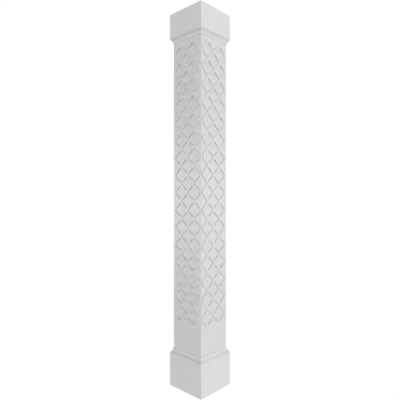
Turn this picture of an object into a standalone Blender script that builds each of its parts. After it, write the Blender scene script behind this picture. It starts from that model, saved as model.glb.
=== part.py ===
"""Square box column with an applied fretwork panel on each face.

A hollow shaft is made of four boards mitred at the corners. A pierced panel of
wavy straps lies on the middle of each face. A capital and a base, each four
mitred boards with a mitred cove moulding against the shaft, wrap the two ends.

Metres, +Z up. The origin is at the middle of the underside.
"""
import math

import bmesh
import bpy
from mathutils import Matrix

# ---------------------------------------------------------------- dimensions
HEIGHT = 2.4384              # overall height, 8 ft
SHAFT_WIDTH = 0.2440         # across the flats of the plain shaft
SHAFT_BOARD = 0.0187         # thickness of a shaft board
TRIM_WIDTH = 0.2814          # across the flats of the capital and the base
CAPITAL_HEIGHT = 0.1610      # capital boards
BASE_HEIGHT = 0.2160         # base boards
MOULDING_HEIGHT = 0.0290     # cove moulding, at the capital and at the base
GAP = 0.0003                 # joint between pieces that touch

# cove moulding section: how far it stands out from the shaft
MOULDING_HEAD = 0.0166       # square edge beside the trim boards
MOULDING_HEAD_HEIGHT = 0.0040
MOULDING_COVE_OUT = 0.0146   # cove, where it meets the square edge
MOULDING_COVE_IN = 0.0030    # cove, where it meets the small fillet
MOULDING_FILLET = 0.0042     # small fillet that lies on the shaft
MOULDING_FILLET_HEIGHT = 0.0042
COVE_POWER = 1.5             # how hollow the cove is
COVE_STEPS = 6

# fretwork panel
PITCH = 0.1121               # the pattern repeats at this step, up and across
PITCHES_ACROSS = 2           # panel width in pitches
PITCHES_UP = 16              # panel height in pitches
PANEL_BOTTOM = 0.4267        # height of the panel's lower edge
PANEL_THICKNESS = 0.0095
STRAP_WIDTH = 0.0159         # across a wavy strap
STRAP_KISS = 0.0063          # strap centre line to the joint where two straps meet

# six-sided opening that stands for the smooth wavy one, and has the same area
OPENING_SHOULDER = 0.0080    # half height of the upright sides
OPENING_TIP_PULL = 0.938     # tip of the six-sided opening, against the smooth tip


# ---------------------------------------------------------------- fretwork lines
def strap_centre(z):
    """Distance of a strap's centre line from the middle of the opening."""
    swing = PITCH / 4 - STRAP_KISS
    return PITCH / 4 + swing * math.cos(2 * math.pi * z / PITCH)


def strap_slope(z):
    swing = PITCH / 4 - STRAP_KISS
    return -swing * 2 * math.pi / PITCH * math.sin(2 * math.pi * z / PITCH)


def opening_edge(z):
    """Point of the opening's edge beside the centre-line point at height z."""
    slope = strap_slope(z)
    length = math.hypot(1.0, slope)
    half = STRAP_WIDTH / 2
    return strap_centre(z) - half / length, z + half * slope / length


def opening_tip():
    """Height of the opening's pointed end above its middle."""
    low, high = PITCH / 4, PITCH / 2
    for _ in range(60):
        mid = (low + high) / 2
        if opening_edge(mid)[0] > 0:
            low = mid
        else:
            high = mid
    return opening_edge(low)[1]


def opening_half_width(z):
    """Half width of the opening at a height z from its middle."""
    low, high = 0.0, PITCH / 2
    for _ in range(60):
        mid = (low + high) / 2
        if opening_edge(mid)[1] < z:
            low = mid
        else:
            high = mid
    return max(0.0, opening_edge(low)[0])


TIP = opening_tip() * OPENING_TIP_PULL
SIDE = opening_half_width(OPENING_SHOULDER)


def right_half(zc=0.0, uc=0.0):
    """Right half of an opening, from its lower tip to its upper tip."""
    return [(uc, zc - TIP), (uc + SIDE, zc - OPENING_SHOULDER),
            (uc + SIDE, zc + OPENING_SHOULDER), (uc, zc + TIP)]


def left_half(zc=0.0, uc=0.0):
    """Left half of an opening, from its upper tip to its lower tip."""
    return [(uc, zc + TIP), (uc - SIDE, zc + OPENING_SHOULDER),
            (uc - SIDE, zc - OPENING_SHOULDER), (uc, zc - TIP)]


def panel_outlines():
    """Closed outlines of one panel: the rim first, then every opening."""
    half = PITCHES_ACROSS * PITCH / 2
    top = PITCHES_UP * PITCH
    rim = []
    # lower edge, left to right: quarter opening, half opening, quarter opening
    rim += [(-half + SIDE, 0.0)]
    rim += [(-SIDE, 0.0), (-SIDE, OPENING_SHOULDER), (0.0, TIP),
            (SIDE, OPENING_SHOULDER), (SIDE, 0.0)]
    rim += [(half - SIDE, 0.0), (half - SIDE, OPENING_SHOULDER), (half, TIP)]
    # right edge, upwards: one half opening for each pitch
    for row in range(1, PITCHES_UP):
        rim += [(half - (u - half), z) for u, z in right_half(row * PITCH, half)]
    rim += [(half, top - TIP), (half - SIDE, top - OPENING_SHOULDER), (half - SIDE, top)]
    # upper edge, right to left
    rim += [(SIDE, top), (SIDE, top - OPENING_SHOULDER), (0.0, top - TIP),
            (-SIDE, top - OPENING_SHOULDER), (-SIDE, top)]
    rim += [(-half + SIDE, top), (-half + SIDE, top - OPENING_SHOULDER), (-half, top - TIP)]
    # left edge, downwards
    for row in range(PITCHES_UP - 1, 0, -1):
        rim += [(-half - (u + half), z) for u, z in left_half(row * PITCH, -half)]
    rim += [(-half, TIP), (-half + SIDE, OPENING_SHOULDER)]
    outlines = [rim]
    for row in range(PITCHES_UP):
        for column in (-PITCH / 2, PITCH / 2):
            centre = (row + 0.5) * PITCH
            outlines.append(right_half(centre, column) + left_half(centre, column)[1:3])
    for row in range(1, PITCHES_UP):
        outlines.append(right_half(row * PITCH, 0.0) + left_half(row * PITCH, 0.0)[1:3])
    return outlines


def moulding_section():
    """Section of the cove moulding: (distance from the shaft, distance from the trim boards)."""
    points = [(GAP, 0.0), (MOULDING_HEAD, 0.0), (MOULDING_HEAD, MOULDING_HEAD_HEIGHT)]
    start = MOULDING_HEAD_HEIGHT
    end = MOULDING_HEIGHT - MOULDING_FILLET_HEIGHT
    for i in range(COVE_STEPS + 1):
        s = i / COVE_STEPS
        out = MOULDING_COVE_IN + (MOULDING_COVE_OUT - MOULDING_COVE_IN) * (1 - s) ** COVE_POWER
        points.append((out, start + (end - start) * s))
    points += [(MOULDING_FILLET, end), (MOULDING_FILLET, MOULDING_HEIGHT), (GAP, MOULDING_HEIGHT)]
    return points


# ---------------------------------------------------------------- scene helpers
def clear_scene():
    for obj in list(bpy.data.objects):
        bpy.data.objects.remove(obj, do_unlink=True)
    for block in (bpy.data.meshes, bpy.data.curves, bpy.data.materials, bpy.data.collections):
        for item in list(block):
            block.remove(item)


def paint(name, colour, roughness):
    material = bpy.data.materials.new(name)
    material.use_nodes = True
    shader = material.node_tree.nodes["Principled BSDF"]
    shader.inputs["Base Color"].default_value = (*colour, 1.0)
    shader.inputs["Roughness"].default_value = roughness
    shader.inputs["Metallic"].default_value = 0.0
    material.diffuse_color = (*colour, 1.0)
    return material


def extruded_outline(name, outlines, thickness, turn):
    """A flat outline, extruded by half its thickness each way, then turned and made a mesh."""
    curve = bpy.data.curves.new(name + "_outline", "CURVE")
    curve.dimensions = "2D"
    curve.fill_mode = "BOTH"
    curve.extrude = thickness / 2
    for outline in outlines:
        spline = curve.splines.new("POLY")
        spline.points.add(len(outline) - 1)
        for point, (x, y) in zip(spline.points, outline):
            point.co = (x, y, 0.0, 1.0)
        spline.use_cyclic_u = True
    holder = bpy.data.objects.new(name + "_curve", curve)
    bpy.context.scene.collection.objects.link(holder)
    holder.matrix_world = turn
    bpy.context.view_layer.update()
    evaluated = holder.evaluated_get(bpy.context.evaluated_depsgraph_get())
    mesh = bpy.data.meshes.new_from_object(evaluated)
    mesh.name = name
    solid = bpy.data.objects.new(name, mesh)
    solid.matrix_world = holder.matrix_world.copy()
    bpy.data.objects.remove(holder, do_unlink=True)
    bpy.data.curves.remove(curve)
    work = bmesh.new()
    work.from_mesh(mesh)
    bmesh.ops.remove_doubles(work, verts=work.verts, dist=0.00002)
    bmesh.ops.recalc_face_normals(work, faces=work.faces)
    work.to_mesh(mesh)
    work.free()
    return solid


def add_to(collection, solid, material, face_turn):
    """Places a piece made for the front face on one of the four faces."""
    solid.data.materials.clear()
    solid.data.materials.append(material)
    solid.matrix_world = face_turn @ solid.matrix_world
    collection.objects.link(solid)
    return solid


def mitred_board(name, outer, inner, bottom, height):
    """A board of the front face whose ends are cut at 45 degrees: outer and inner are
    the distances of its two faces from the column's axis."""
    ease = GAP / 2 * math.sqrt(2)
    outline = [(-(outer - ease), -outer), (outer - ease, -outer),
               (inner - ease, -inner), (-(inner - ease), -inner)]
    return extruded_outline(name, [outline], height,
                            Matrix.Translation((0, 0, bottom + height / 2)))


def mitred_moulding(name, against, upward):
    """The cove moulding of the front face. against is the height of the trim boards'
    edge it touches; upward is +1 where it rises from there and -1 where it hangs."""
    ease = GAP / 2 * math.sqrt(2)
    shaft = SHAFT_WIDTH / 2
    section = [(out, GAP + (MOULDING_HEIGHT - GAP) * run / MOULDING_HEIGHT)
               for out, run in moulding_section()]
    if upward < 0:
        section = [(out, -run) for out, run in section]
    # the section lies in the YZ plane and is extruded along X
    turn = Matrix(((0, 0, -1, 0), (-1, 0, 0, -shaft), (0, 1, 0, against), (0, 0, 0, 1)))
    solid = extruded_outline(name, [section], 1.0, turn)
    mesh = solid.data
    mesh.transform(solid.matrix_world)
    solid.matrix_world = Matrix.Identity(4)
    # mitre: each point's half length is its own distance from the axis
    for vertex in mesh.vertices:
        reach = -vertex.co.y - ease
        vertex.co.x = math.copysign(reach, vertex.co.x)
    return solid


def fretwork_panel(name):
    """The pierced panel of the front face."""
    centre = SHAFT_WIDTH / 2 + GAP + PANEL_THICKNESS / 2
    turn = Matrix(((1, 0, 0, 0), (0, 0, -1, -centre), (0, 1, 0, PANEL_BOTTOM), (0, 0, 0, 1)))
    return extruded_outline(name, panel_outlines(), PANEL_THICKNESS, turn)


# ---------------------------------------------------------------- the column
def build():
    clear_scene()
    column = bpy.data.collections.new("square_column")
    bpy.context.scene.collection.children.link(column)

    shaft = SHAFT_WIDTH / 2
    trim = TRIM_WIDTH / 2
    faces = (("front", 0), ("right", 90), ("back", 180), ("left", 270))
    for side, degrees in faces:
        turn = Matrix.Rotation(math.radians(degrees), 4, "Z")
        add_to(column, mitred_board("shaft_board_" + side, shaft, shaft - SHAFT_BOARD,
                                    0.0, HEIGHT),
               paint("shaft_white_" + side, (0.80, 0.80, 0.80), 0.45), turn)
        add_to(column, fretwork_panel("fretwork_panel_" + side),
               paint("fretwork_white_" + side, (0.82, 0.82, 0.82), 0.45), turn)
        add_to(column, mitred_board("capital_board_" + side, trim, shaft + GAP,
                                    HEIGHT - CAPITAL_HEIGHT, CAPITAL_HEIGHT),
               paint("capital_white_" + side, (0.80, 0.80, 0.80), 0.45), turn)
        add_to(column, mitred_moulding("capital_moulding_" + side,
                                       HEIGHT - CAPITAL_HEIGHT, -1),
               paint("capital_moulding_white_" + side, (0.80, 0.80, 0.80), 0.40), turn)
        add_to(column, mitred_board("base_board_" + side, trim, shaft + GAP,
                                    0.0, BASE_HEIGHT),
               paint("base_white_" + side, (0.80, 0.80, 0.80), 0.45), turn)
        add_to(column, mitred_moulding("base_moulding_" + side, BASE_HEIGHT, 1),
               paint("base_moulding_white_" + side, (0.80, 0.80, 0.80), 0.40), turn)


build()
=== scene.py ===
"""Looks of the square column: white moulded boards, cove mouldings and fretwork panels."""

import math

import bmesh
import bpy
from mathutils import Matrix, Vector


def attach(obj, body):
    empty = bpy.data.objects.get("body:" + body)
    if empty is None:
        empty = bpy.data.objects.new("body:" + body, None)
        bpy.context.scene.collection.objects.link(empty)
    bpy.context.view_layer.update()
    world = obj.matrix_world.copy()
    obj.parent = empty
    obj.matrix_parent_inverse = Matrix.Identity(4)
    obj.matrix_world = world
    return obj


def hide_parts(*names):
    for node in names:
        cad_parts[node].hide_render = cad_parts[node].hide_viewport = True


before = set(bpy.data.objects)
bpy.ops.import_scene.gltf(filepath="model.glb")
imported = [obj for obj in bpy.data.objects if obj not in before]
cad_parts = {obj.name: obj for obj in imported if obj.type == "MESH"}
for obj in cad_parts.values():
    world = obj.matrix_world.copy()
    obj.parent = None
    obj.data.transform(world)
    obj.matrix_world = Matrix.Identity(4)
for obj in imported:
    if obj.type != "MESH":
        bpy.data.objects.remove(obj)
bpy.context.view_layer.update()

# ---------------------------------------------------------------- dimensions (metres)
HEIGHT = 2.4384
SHAFT_WIDTH = 0.2440
SHAFT_BOARD = 0.0187
TRIM_WIDTH = 0.2814
CAPITAL_HEIGHT = 0.1610
BASE_HEIGHT = 0.2160
MOULDING_HEIGHT = 0.0290
GAP = 0.0003
ARRIS = 0.0006               # rounding of the boards' edges
JOINT = 0.00006              # hairline left where two pieces are glued

MOULDING_HEAD = 0.0166
MOULDING_HEAD_HEIGHT = 0.0040
MOULDING_COVE_OUT = 0.0146
MOULDING_COVE_IN = 0.0030
MOULDING_FILLET = 0.0042
MOULDING_FILLET_HEIGHT = 0.0042
COVE_POWER = 1.5
COVE_STEPS = 28

PITCH = 0.1121
PITCHES_ACROSS = 2
PITCHES_UP = 16
PANEL_BOTTOM = 0.4267
PANEL_THICKNESS = 0.0095
STRAP_WIDTH = 0.0159
STRAP_KISS = 0.0063
STRAP_ARRIS = 0.0007         # rounding of the straps' edges
CUTTER_RADIUS = 0.0020       # rounding that the cutter leaves in a pointed opening
EDGE_STEPS = 11
TIP_STEPS = 3

SIDES = (("front", 0), ("right", 90), ("back", 180), ("left", 270))


# ---------------------------------------------------------------- materials
def nodes_of(material):
    tree = material.node_tree
    return tree, tree.nodes, tree.links


def white_plastic(name, tone, low_rough, high_rough, grain_axis=None, tooled=None, skin=0.00009):
    """White cellular plastic: a faintly uneven skin, cloudy roughness, and either long
    rolling lines along a board (grain_axis) or short cutter marks (tooled)."""
    material = bpy.data.materials.new(name)
    material.use_nodes = True
    tree, nodes, links = nodes_of(material)
    shader = nodes["Principled BSDF"]
    shader.inputs["Metallic"].default_value = 0.0
    shader.inputs["IOR"].default_value = 1.5
    place = nodes.new("ShaderNodeTexCoord")

    def noise(scale, detail, rough, stretch=(1.0, 1.0, 1.0)):
        mapping = nodes.new("ShaderNodeMapping")
        mapping.inputs["Scale"].default_value = stretch
        links.new(place.outputs["Object"], mapping.inputs["Vector"])
        texture = nodes.new("ShaderNodeTexNoise")
        texture.inputs["Scale"].default_value = scale
        texture.inputs["Detail"].default_value = detail
        texture.inputs["Roughness"].default_value = rough
        links.new(mapping.outputs["Vector"], texture.inputs["Vector"])
        return texture.outputs["Fac"]

    def ramp(value, stops):
        element = nodes.new("ShaderNodeValToRGB")
        element.color_ramp.elements[0].position = stops[0][0]
        element.color_ramp.elements[0].color = (*(stops[0][1],) * 3, 1.0)
        element.color_ramp.elements[1].position = stops[-1][0]
        element.color_ramp.elements[1].color = (*(stops[-1][1],) * 3, 1.0)
        links.new(value, element.inputs["Fac"])
        return element.outputs["Color"]

    # colour: broad clouds from the foaming, and fine specks
    clouds = ramp(noise(7.0, 3.0, 0.55), ((0.30, tone * 0.984), (0.70, tone * 1.010)))
    specks = ramp(noise(620.0, 2.0, 0.6), ((0.30, 0.972), (0.60, 1.0)))
    mix = nodes.new("ShaderNodeMix")
    mix.data_type = "RGBA"
    mix.blend_type = "MULTIPLY"
    mix.inputs["Factor"].default_value = 1.0
    links.new(clouds, mix.inputs["A"])
    links.new(specks, mix.inputs["B"])
    links.new(mix.outputs["Result"], shader.inputs["Base Color"])

    # roughness: handling and wiping leave it cloudy
    rough = nodes.new("ShaderNodeMapRange")
    rough.inputs["From Min"].default_value = 0.30
    rough.inputs["From Max"].default_value = 0.70
    rough.inputs["To Min"].default_value = low_rough
    rough.inputs["To Max"].default_value = high_rough
    links.new(noise(24.0, 4.0, 0.6), rough.inputs["Value"])
    links.new(rough.outputs["Result"], shader.inputs["Roughness"])

    # relief: pebbled skin, with lines or cutter marks over it
    bump = nodes.new("ShaderNodeBump")
    bump.inputs["Strength"].default_value = 0.35
    bump.inputs["Distance"].default_value = skin
    links.new(noise(900.0, 2.0, 0.5), bump.inputs["Height"])
    last = bump
    if grain_axis is not None:
        stretch = [260.0, 260.0, 260.0]
        stretch[grain_axis] = 1.6
        lines = nodes.new("ShaderNodeBump")
        lines.inputs["Strength"].default_value = 0.25
        lines.inputs["Distance"].default_value = 0.00006
        links.new(noise(1.0, 2.0, 0.5, tuple(stretch)), lines.inputs["Height"])
        links.new(last.outputs["Normal"], lines.inputs["Normal"])
        last = lines
    if tooled is not None:
        stretch = [1500.0, 1500.0, 1500.0]
        stretch[tooled] = 30.0
        marks = nodes.new("ShaderNodeBump")
        marks.inputs["Strength"].default_value = 0.4
        marks.inputs["Distance"].default_value = 0.00010
        links.new(noise(1.0, 1.0, 0.5, tuple(stretch)), marks.inputs["Height"])
        links.new(last.outputs["Normal"], marks.inputs["Normal"])
        last = marks
    links.new(last.outputs["Normal"], shader.inputs["Normal"])
    return material


# ---------------------------------------------------------------- helpers
def to_object(name, mesh, material, degrees, node):
    """A piece made for the front face goes on one of the four faces, instead of its node."""
    mesh.transform(Matrix.Rotation(math.radians(degrees), 4, "Z"))
    piece = bpy.data.objects.new(name, mesh)
    bpy.context.scene.collection.objects.link(piece)
    for item in (material if isinstance(material, (list, tuple)) else [material]):
        mesh.materials.append(item)
    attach(piece, "root")
    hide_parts(node)
    return piece


def shade(mesh, degrees):
    mesh.shade_smooth()
    mesh.set_sharp_from_angle(angle=math.radians(degrees))


def even_normals(piece):
    """Flat faces keep their own normals up to the rounded arris."""
    weighted = piece.modifiers.new("even_normals", "WEIGHTED_NORMAL")
    weighted.keep_sharp = True
    weighted.weight = 100
    weighted.mode = "FACE_AREA"


def prism(outline, bottom, top):
    """A closed upright prism on an outline in the XY plane, as a bmesh."""
    work = bmesh.new()
    base = work.faces.new([work.verts.new((x, y, bottom)) for x, y in outline])
    grown = bmesh.ops.extrude_face_region(work, geom=[base])
    bmesh.ops.translate(work, vec=(0, 0, top - bottom),
                        verts=[v for v in grown["geom"] if isinstance(v, bmesh.types.BMVert)])
    bmesh.ops.recalc_face_normals(work, faces=work.faces)
    return work


def round_edges(work, width, segments, pick):
    edges = [e for e in work.edges if pick(e)]
    bmesh.ops.bevel(work, geom=edges, offset=width, offset_type="OFFSET",
                    segments=segments, profile=0.5, affect="EDGES", clamp_overlap=True)


# ---------------------------------------------------------------- boards
def board_mesh(name, outer, inner, bottom, height):
    ease = JOINT / 2 * math.sqrt(2)
    outline = [(-(outer - ease), -outer), (outer - ease, -outer),
               (inner - ease, -inner), (-(inner - ease), -inner)]
    work = prism(outline, bottom, bottom + height)
    front = -outer

    def on_front(edge):
        return all(abs(v.co.y - front) < 1e-6 for v in edge.verts)

    round_edges(work, ARRIS, 3, on_front)
    mesh = bpy.data.meshes.new(name)
    work.to_mesh(mesh)
    work.free()
    shade(mesh, 35)
    return mesh


# ---------------------------------------------------------------- mouldings
def moulding_section():
    """Section of the cove moulding: (distance from the shaft, distance from the trim boards)."""
    ease = 0.0004
    points = [(JOINT, 0.0), (MOULDING_HEAD, 0.0),
              (MOULDING_HEAD, MOULDING_HEAD_HEIGHT - ease),
              (MOULDING_HEAD - 0.3 * ease, MOULDING_HEAD_HEIGHT - 0.3 * ease),
              (MOULDING_HEAD - ease, MOULDING_HEAD_HEIGHT)]
    start = MOULDING_HEAD_HEIGHT
    end = MOULDING_HEIGHT - MOULDING_FILLET_HEIGHT
    for i in range(COVE_STEPS + 1):
        s = i / COVE_STEPS
        out = MOULDING_COVE_IN + (MOULDING_COVE_OUT - MOULDING_COVE_IN) * (1 - s) ** COVE_POWER
        points.append((out, start + (end - start) * s))
    # the fillet is a small half round with a flat end
    bead = MOULDING_FILLET - MOULDING_COVE_IN
    for i in range(1, 6):
        turn = math.pi / 2 * i / 5
        points.append((MOULDING_COVE_IN + bead * math.sin(turn), end + bead * (1 - math.cos(turn))))
    points += [(MOULDING_FILLET, MOULDING_HEIGHT - 0.0005),
               (MOULDING_FILLET - 0.0005, MOULDING_HEIGHT), (JOINT, MOULDING_HEIGHT)]
    return points


def moulding_mesh(name, against, upward):
    ease = JOINT / 2 * math.sqrt(2)
    shaft = SHAFT_WIDTH / 2
    work = bmesh.new()
    rings = []
    for end in (-1, 1):
        ring = []
        for out, run in moulding_section():
            rise = JOINT + (MOULDING_HEIGHT - JOINT) * run / MOULDING_HEIGHT
            reach = shaft + out
            ring.append(work.verts.new((end * (reach - ease), -reach, against + upward * rise)))
        rings.append(ring)
    count = len(rings[0])
    for i in range(count):
        j = (i + 1) % count
        work.faces.new((rings[0][i], rings[0][j], rings[1][j], rings[1][i]))
    work.faces.new(rings[0])
    work.faces.new(rings[1])
    bmesh.ops.recalc_face_normals(work, faces=work.faces)
    mesh = bpy.data.meshes.new(name)
    work.to_mesh(mesh)
    work.free()
    shade(mesh, 35)
    return mesh


# ---------------------------------------------------------------- fretwork
def strap_centre(z):
    swing = PITCH / 4 - STRAP_KISS
    return PITCH / 4 + swing * math.cos(2 * math.pi * z / PITCH)


def strap_slope(z):
    swing = PITCH / 4 - STRAP_KISS
    return -swing * 2 * math.pi / PITCH * math.sin(2 * math.pi * z / PITCH)


def opening_edge(z):
    slope = strap_slope(z)
    length = math.hypot(1.0, slope)
    half = STRAP_WIDTH / 2
    return strap_centre(z) - half / length, z + half * slope / length


def opening_quarter():
    """Upper right quarter of an opening, from its side to its rounded tip."""
    low, high = PITCH / 4, PITCH / 2
    for _ in range(60):
        mid = (low + high) / 2
        if opening_edge(mid)[0] > 0:
            low = mid
        else:
            high = mid
    last = low
    tip = opening_edge(last)[1]
    near = opening_edge(last * 0.97)
    lean = math.atan2(near[0], tip - near[1])        # half angle of the point
    centre = tip - CUTTER_RADIUS / math.sin(lean)    # middle of the rounding
    touch = centre + CUTTER_RADIUS * math.sin(lean)  # height where the rounding begins
    points = []
    for i in range(EDGE_STEPS * 2):
        x, z = opening_edge(last * i / (EDGE_STEPS * 2 - 1))
        if z < touch - 0.0004:
            points.append((x, z))
    for i in range(TIP_STEPS + 1):
        turn = lean + (math.pi / 2 - lean) * i / TIP_STEPS
        points.append((CUTTER_RADIUS * math.cos(turn), centre + CUTTER_RADIUS * math.sin(turn)))
    points[-1] = (0.0, points[-1][1])
    return points


QUARTER = opening_quarter()


def right_half(zc=0.0, uc=0.0):
    """Right half of an opening, from its lower tip to its upper tip."""
    lower = [(uc + x, zc - z) for x, z in reversed(QUARTER)]
    return lower + [(uc + x, zc + z) for x, z in QUARTER[1:]]


def panel_outlines():
    """Closed outlines of one panel: the rim first, then every opening."""
    half = PITCHES_ACROSS * PITCH / 2
    top = PITCHES_UP * PITCH
    up = QUARTER
    down = QUARTER[::-1]
    rim = []
    # lower edge, left to right
    rim += [(-x, z) for x, z in up] + [(x, z) for x, z in down[1:]]
    rim += [(half - x, z) for x, z in up]
    # right edge, upwards
    for row in range(1, PITCHES_UP):
        rim += [(half - u, z) for u, z in right_half(row * PITCH)]
    rim += [(half - x, top - z) for x, z in down]
    # upper edge, right to left
    rim += [(x, top - z) for x, z in up] + [(-x, top - z) for x, z in down[1:]]
    rim += [(-half + x, top - z) for x, z in up]
    # left edge, downwards
    for row in range(PITCHES_UP - 1, 0, -1):
        rim += [(-half + u, z) for u, z in right_half(row * PITCH)[::-1]]
    rim += [(-half + x, z) for x, z in down]
    outlines = [rim]

    def opening(uc, zc):
        right = right_half(zc, uc)
        return right + [(2 * uc - u, z) for u, z in right[::-1][1:-1]]

    for row in range(PITCHES_UP):
        for column in (-PITCH / 2, PITCH / 2):
            outlines.append(opening(column, (row + 0.5) * PITCH))
    for row in range(1, PITCHES_UP):
        outlines.append(opening(0.0, row * PITCH))
    return outlines


def square_back(work, bottom):
    """The edges against the board stay square: the lower rounding goes back out to the cut edge."""
    lower = sorted((v for v in work.verts if v.co.z < bottom - 1e-6), key=lambda v: -v.co.z)
    for vert in lower:
        above = [e.other_vert(vert) for e in vert.link_edges
                 if e.other_vert(vert).co.z > vert.co.z + 1e-6]
        if above:
            nearest = min(above, key=lambda v: (v.co.xy - vert.co.xy).length)
            vert.co.xy = nearest.co.xy


def fretwork_mesh(name):
    """The front face's pierced panel, its arrises rounded. Face set 0 is the flat face, 1 the cut edges,
    which take the darker material whose lower tone is painted shade.
    """
    back = GAP - JOINT
    curve = bpy.data.curves.new(name + "_outline", "CURVE")
    curve.dimensions = "2D"
    curve.fill_mode = "BOTH"
    curve.extrude = (PANEL_THICKNESS + back) / 2 - STRAP_ARRIS
    curve.bevel_depth = STRAP_ARRIS
    curve.bevel_resolution = 1
    curve.offset = -STRAP_ARRIS
    for outline in panel_outlines():
        spline = curve.splines.new("POLY")
        spline.points.add(len(outline) - 1)
        for point, (x, y) in zip(spline.points, outline):
            point.co = (x, y, 0.0, 1.0)
        spline.use_cyclic_u = True
    holder = bpy.data.objects.new(name + "_curve", curve)
    bpy.context.scene.collection.objects.link(holder)
    bpy.context.view_layer.update()
    evaluated = holder.evaluated_get(bpy.context.evaluated_depsgraph_get())
    mesh = bpy.data.meshes.new_from_object(evaluated)
    mesh.name = name
    bpy.data.objects.remove(holder, do_unlink=True)
    bpy.data.curves.remove(curve)
    work = bmesh.new()
    work.from_mesh(mesh)
    bmesh.ops.remove_doubles(work, verts=work.verts, dist=0.00002)
    bmesh.ops.dissolve_degenerate(work, edges=work.edges, dist=0.00001)
    square_back(work, STRAP_ARRIS - (PANEL_THICKNESS + back) / 2)
    bmesh.ops.recalc_face_normals(work, faces=work.faces)
    for face in work.faces:
        face.material_index = 0 if face.normal.z > 0.75 else 1
    work.to_mesh(mesh)
    work.free()
    centre = SHAFT_WIDTH / 2 + GAP - back / 2 + PANEL_THICKNESS / 2
    mesh.transform(Matrix(((1, 0, 0, 0), (0, 0, -1, -centre), (0, 1, 0, PANEL_BOTTOM), (0, 0, 0, 1))))
    shade(mesh, 40)
    return mesh


# ---------------------------------------------------------------- camera
CAMERA_AZIMUTH = math.radians(43.11)
CAMERA_DISTANCE = 2.5333
lens = bpy.data.cameras.new("camera")
lens.sensor_fit = "HORIZONTAL"
lens.sensor_width = 36.0
lens.lens = 382.95 / 400 * 36.0
camera = bpy.data.objects.new("camera", lens)
camera.location = (math.sin(CAMERA_AZIMUTH) * CAMERA_DISTANCE,
                   -math.cos(CAMERA_AZIMUTH) * CAMERA_DISTANCE, HEIGHT / 2)
camera.rotation_euler = (math.pi / 2, 0.0, CAMERA_AZIMUTH)
bpy.context.scene.collection.objects.link(camera)
bpy.context.scene.camera = camera

# ---------------------------------------------------------------- the column
shaft = SHAFT_WIDTH / 2
trim = TRIM_WIDTH / 2
TONE = 0.80
for side, degrees in SIDES:
    # the skin of an upright board runs upwards, a moulding's runs along it
    along = 0 if degrees in (0, 180) else 1
    through = 1 if degrees in (0, 180) else 0
    shaft_white = white_plastic("shaft_white_" + side, TONE * 0.97, 0.27, 0.33, grain_axis=2)
    trim_white = white_plastic("trim_white_" + side, TONE, 0.44, 0.52, grain_axis=along)
    moulding_white = white_plastic("moulding_white_" + side, TONE, 0.38, 0.46, grain_axis=along)
    fret_face = white_plastic("fretwork_face_" + side, TONE * 0.98, 0.27, 0.33, grain_axis=2)
    # the cut edges are a darker white (0.93 of the tone): painted shade that darkens the straps' side
    # walls; their cutter marks and rougher finish are real
    fret_edge_painted_shade = white_plastic("fretwork_edge_painted_shade_" + side, TONE * 0.93, 0.48, 0.58, tooled=through)

    mesh = board_mesh("shaft_" + side, shaft, shaft - SHAFT_BOARD, 0.0, HEIGHT)
    even_normals(to_object("shaft_" + side, mesh, shaft_white, degrees,
                           "shaft_board_" + side))

    mesh = fretwork_mesh("fretwork_" + side)
    even_normals(to_object("fretwork_" + side, mesh, [fret_face, fret_edge_painted_shade], degrees,
                           "fretwork_panel_" + side))

    mesh = board_mesh("capital_" + side, trim, shaft + GAP, HEIGHT - CAPITAL_HEIGHT, CAPITAL_HEIGHT)
    even_normals(to_object("capital_" + side, mesh, trim_white, degrees,
                           "capital_board_" + side))

    mesh = moulding_mesh("capital_cove_" + side, HEIGHT - CAPITAL_HEIGHT, -1)
    to_object("capital_cove_" + side, mesh, moulding_white, degrees,
              "capital_moulding_" + side)

    mesh = board_mesh("base_" + side, trim, shaft + GAP, 0.0, BASE_HEIGHT)
    even_normals(to_object("base_" + side, mesh, trim_white, degrees,
                           "base_board_" + side))

    mesh = moulding_mesh("base_cove_" + side, BASE_HEIGHT, 1)
    to_object("base_cove_" + side, mesh, moulding_white, degrees,
              "base_moulding_" + side)


# ---------------------------------------------------------------- studio
def glowing(name, strength):
    material = bpy.data.materials.new(name)
    material.use_nodes = True
    tree, nodes, links = nodes_of(material)
    nodes.remove(nodes["Principled BSDF"])
    glow = nodes.new("ShaderNodeEmission")
    glow.inputs["Color"].default_value = (1.0, 1.0, 1.0, 1.0)
    glow.inputs["Strength"].default_value = strength
    links.new(glow.outputs["Emission"], nodes["Material Output"].inputs["Surface"])
    return material


def unlit(obj):
    """Only the camera sees this: it neither lights nor shades the column."""
    obj.visible_diffuse = False
    obj.visible_glossy = False
    obj.visible_transmission = False
    obj.visible_volume_scatter = False
    obj.visible_shadow = False


work = bmesh.new()
bmesh.ops.create_circle(work, cap_ends=True, segments=96, radius=12.0)
mesh = bpy.data.meshes.new("floor")
work.to_mesh(mesh)
work.free()
mesh.materials.append(glowing("floor_white", 1.02))
floor = bpy.data.objects.new("floor", mesh)
bpy.context.scene.collection.objects.link(floor)
unlit(floor)

work = bmesh.new()
bmesh.ops.create_uvsphere(work, u_segments=64, v_segments=32, radius=11.9)
mesh = bpy.data.meshes.new("backdrop")
work.to_mesh(mesh)
work.free()
mesh.materials.append(glowing("backdrop_white", 1.02))
backdrop = bpy.data.objects.new("backdrop", mesh)
bpy.context.scene.collection.objects.link(backdrop)
unlit(backdrop)

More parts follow.
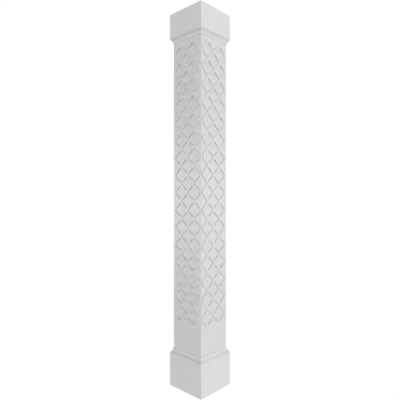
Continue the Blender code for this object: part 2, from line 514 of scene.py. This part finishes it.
# The studio is a ring of soft light round the column at the height of its middle, fading
# upwards and downwards. Each ring is listed as (azimuth in degrees, brightness); azimuth 0
# lights the front face and 90 the right one.
MIDDLE_RING = ((-180, 0.95), (-160, 2.60), (-130, 3.40), (-110, 3.20), (-88, 1.30), (-62, 1.60),
               (-52, 4.30), (-35, 4.30), (-24, 2.10), (-5, 2.45), (10, 3.10), (30, 3.75),
               (50, 3.45), (70, 2.70), (90, 2.60), (110, 2.60), (130, 1.80), (150, 1.10),
               (180, 0.95))
WIDE_RING = ((-180, 0.30), (-135, 1.20), (-100, 0.30), (-60, 0.0), (-20, 0.05), (15, 1.00),
             (45, 1.45), (75, 0.90), (105, 1.20), (135, 0.35), (165, 0.15), (180, 0.30))
UPPER_RING = ((-180, 1.10), (-135, 0.80), (-90, 0.0), (-45, 0.0), (0, 0.0), (45, 0.15),
              (90, 0.45), (135, 1.00), (180, 1.10))
LOWER_RING = ((-180, 0.70), (-135, 0.60), (-90, 0.0), (0, 0.0), (45, 0.05), (90, 0.25),
              (135, 0.60), (180, 0.70))
OVERHEAD = 0.15
UNDERFOOT = 0.20


def studio_light():
    world = bpy.data.worlds.new("studio")
    world.use_nodes = True
    nodes, links = world.node_tree.nodes, world.node_tree.links

    def math_node(operation, *values):
        element = nodes.new("ShaderNodeMath")
        element.operation = operation
        for socket, value in zip(element.inputs, values):
            if isinstance(value, (int, float)):
                socket.default_value = value
            else:
                links.new(value, socket)
        return element.outputs[0]

    def step(value, start, end, first, last):
        element = nodes.new("ShaderNodeMapRange")
        element.interpolation_type = "SMOOTHSTEP"
        element.inputs["From Min"].default_value = math.radians(start)
        element.inputs["From Max"].default_value = math.radians(end)
        element.inputs["To Min"].default_value = first
        element.inputs["To Max"].default_value = last
        links.new(value, element.inputs["Value"])
        return element.outputs["Result"]

    def ring(fraction, stops):
        element = nodes.new("ShaderNodeValToRGB")
        brightest = max(level for _, level in stops)
        elements = element.color_ramp.elements
        while len(elements) < len(stops):
            elements.new(0.5)
        for item, (degrees, level) in zip(elements, stops):
            item.position = (degrees + 180) / 360
        for item, (degrees, level) in zip(elements, stops):
            item.color = (*(level / brightest,) * 3, 1.0)
        links.new(fraction, element.inputs["Fac"])
        return math_node("MULTIPLY", element.outputs["Color"], brightest)

    direction = nodes.new("ShaderNodeTexCoord").outputs["Generated"]
    parts = nodes.new("ShaderNodeSeparateXYZ")
    links.new(direction, parts.inputs["Vector"])
    azimuth = math_node("ARCTAN2", parts.outputs["X"],
                        math_node("MULTIPLY", parts.outputs["Y"], -1.0))
    fraction = math_node("ADD", math_node("DIVIDE", azimuth, 2 * math.pi), 0.5)
    elevation = math_node("ARCSINE", parts.outputs["Z"])
    away = math_node("ABSOLUTE", elevation)

    middle = step(away, 5.5, 8.5, 1.0, 0.0)
    wide = math_node("MULTIPLY", step(away, 5.5, 8.5, 0.0, 1.0), step(away, 20, 30, 1.0, 0.0))
    upper = math_node("MULTIPLY", step(elevation, 20, 30, 0.0, 1.0),
                      step(elevation, 50, 70, 1.0, 0.0))
    lower = math_node("MULTIPLY", step(elevation, -30, -20, 1.0, 0.0),
                      step(elevation, -70, -50, 0.0, 1.0))
    overhead = step(elevation, 50, 70, 0.0, OVERHEAD)
    underfoot = step(elevation, -70, -50, UNDERFOOT, 0.0)
    total = math_node("ADD", overhead, underfoot)
    for weight, stops in ((middle, MIDDLE_RING), (wide, WIDE_RING),
                          (upper, UPPER_RING), (lower, LOWER_RING)):
        total = math_node("ADD", total, math_node("MULTIPLY", weight, ring(fraction, stops)))
    background = nodes["Background"]
    background.inputs["Color"].default_value = (1.0, 1.0, 1.0, 1.0)
    links.new(total, background.inputs["Strength"])
    bpy.context.scene.world = world


studio_light()

bpy.context.scene.view_settings.view_transform = "Standard"
bpy.context.scene.view_settings.look = "None"
bpy.context.scene.view_settings.exposure = 0.0
bpy.context.scene.view_settings.gamma = 1.0
